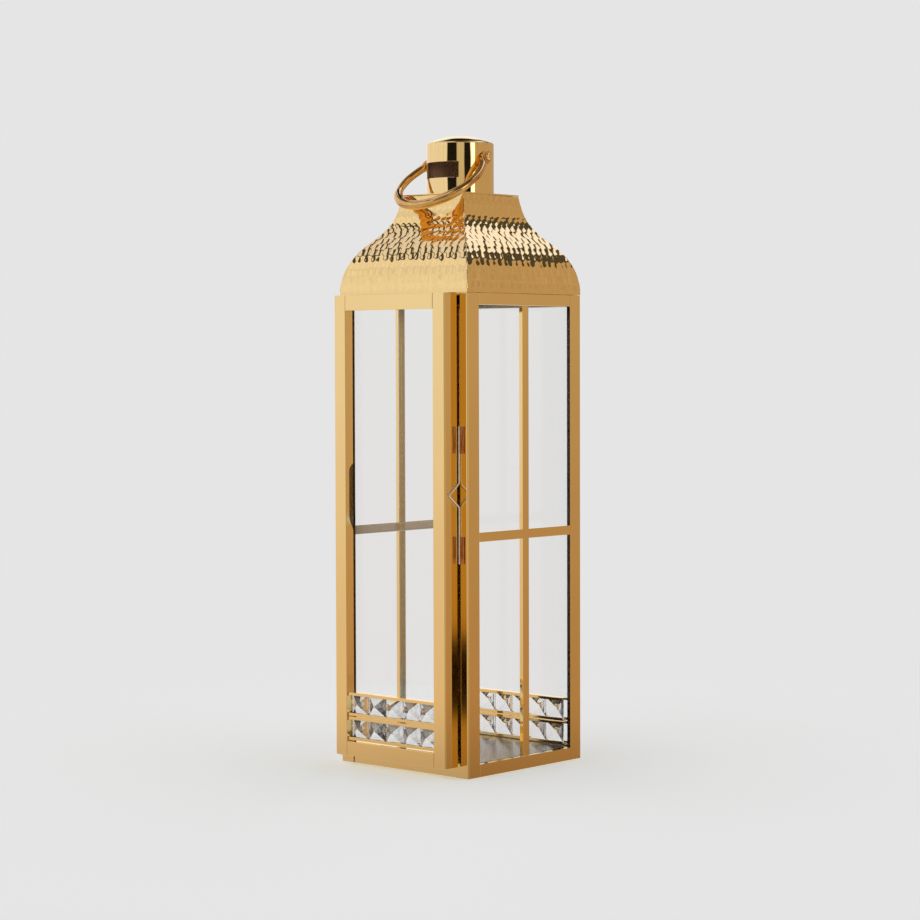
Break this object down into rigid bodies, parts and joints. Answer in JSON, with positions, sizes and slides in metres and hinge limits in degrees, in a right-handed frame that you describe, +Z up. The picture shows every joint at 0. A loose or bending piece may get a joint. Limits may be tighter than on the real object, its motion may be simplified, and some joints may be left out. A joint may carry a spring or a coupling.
{
  "type": "candle lantern",
  "caption": "Tall square candle lantern with glass sides, a hinged box door over a band of cut crystals, a hammered ogee roof, a vented chimney cup and a bail handle.",
  "frame": {"origin": "the middle of the bounding box on the floor: the body's own axis stands 8.8 mm behind it, because the door stands proud of the front", "axes": "+Z up, -Y out of the door, +X to the right of someone who faces the door"},
  "size_m": [0.15, 0.1676, 0.5495],
  "materials": {
    "polished_gold": "mirror-polished gold plating, on hammered sheet for the roof",
    "antique_gold": "darker antique gold",
    "grey_steel": "dark grey, half-bright",
    "clear_glass": "clear",
    "cut_crystal": "clear, cut and polished"
  },
  "bodies": {
    "lantern_body": {"post_front_left": "polished_gold", "post_front_right": "polished_gold", "post_back_left": "polished_gold", "post_back_right": "polished_gold", "sill_front": "polished_gold", "sill_back": "polished_gold", "sill_left": "polished_gold", "sill_right": "polished_gold", "top_rail_front": "polished_gold", "top_rail_back": "polished_gold", "top_rail_left": "polished_gold", "top_rail_right": "polished_gold", "floor_pan": "grey_steel", "muntin_cross_left": "polished_gold", "muntin_cross_right": "polished_gold", "glass_left": "clear_glass", "glass_right": "clear_glass", "glass_back": "clear_glass", "back_crystal_channel_lower_bottom": "polished_gold", "back_crystal_channel_lower_top": "polished_gold", "back_crystal_bar_lower": "cut_crystal", "back_crystal_channel_upper_bottom": "polished_gold", "back_crystal_channel_upper_top": "polished_gold", "back_crystal_bar_upper": "cut_crystal", "roof_panel_front": "polished_gold", "roof_panel_back": "polished_gold", "roof_panel_left": "polished_gold", "roof_panel_right": "polished_gold", "roof_platform": "polished_gold", "chimney": "polished_gold", "handle_pin_left": "polished_gold", "handle_pin_right": "polished_gold", "hinge_lower_post_leaf": "polished_gold", "hinge_lower_pin": "polished_gold", "hinge_upper_post_leaf": "polished_gold", "hinge_upper_pin": "polished_gold", "latch_spring": "polished_gold"},
    "door": {"door_stile_left": "polished_gold", "door_stile_right": "polished_gold", "door_rail_top": "polished_gold", "door_rail_bottom": "polished_gold", "door_glass": "clear_glass", "door_crystal_channel_lower_bottom": "polished_gold", "door_crystal_channel_lower_top": "polished_gold", "door_crystal_lower_1": "cut_crystal", "door_crystal_lower_2": "cut_crystal", "door_crystal_lower_3": "cut_crystal", "door_crystal_lower_4": "cut_crystal", "door_crystal_lower_5": "cut_crystal", "door_crystal_channel_upper_bottom": "polished_gold", "door_crystal_channel_upper_top": "polished_gold", "door_crystal_upper_1": "cut_crystal", "door_crystal_upper_2": "cut_crystal", "door_crystal_upper_3": "cut_crystal", "door_crystal_upper_4": "cut_crystal", "door_crystal_upper_5": "cut_crystal", "hinge_lower_door_leaf": "polished_gold", "hinge_upper_door_leaf": "polished_gold"},
    "handle": {"bail_handle": "antique_gold"}
  },
  "joints": [
    {"name": "door_swing", "type": "hinge", "parent": "lantern_body", "child": "door", "pos_m": [-0.0687, -0.0701, 0.2075], "axis": [0, 0, -1], "range_deg": [0, 110]},
    {"name": "handle_swing", "type": "hinge", "parent": "lantern_body", "child": "handle", "pos_m": [0, 0.0088, 0.53], "axis": [-1, 0, 0], "range_deg": [0, 254]}
  ]
}
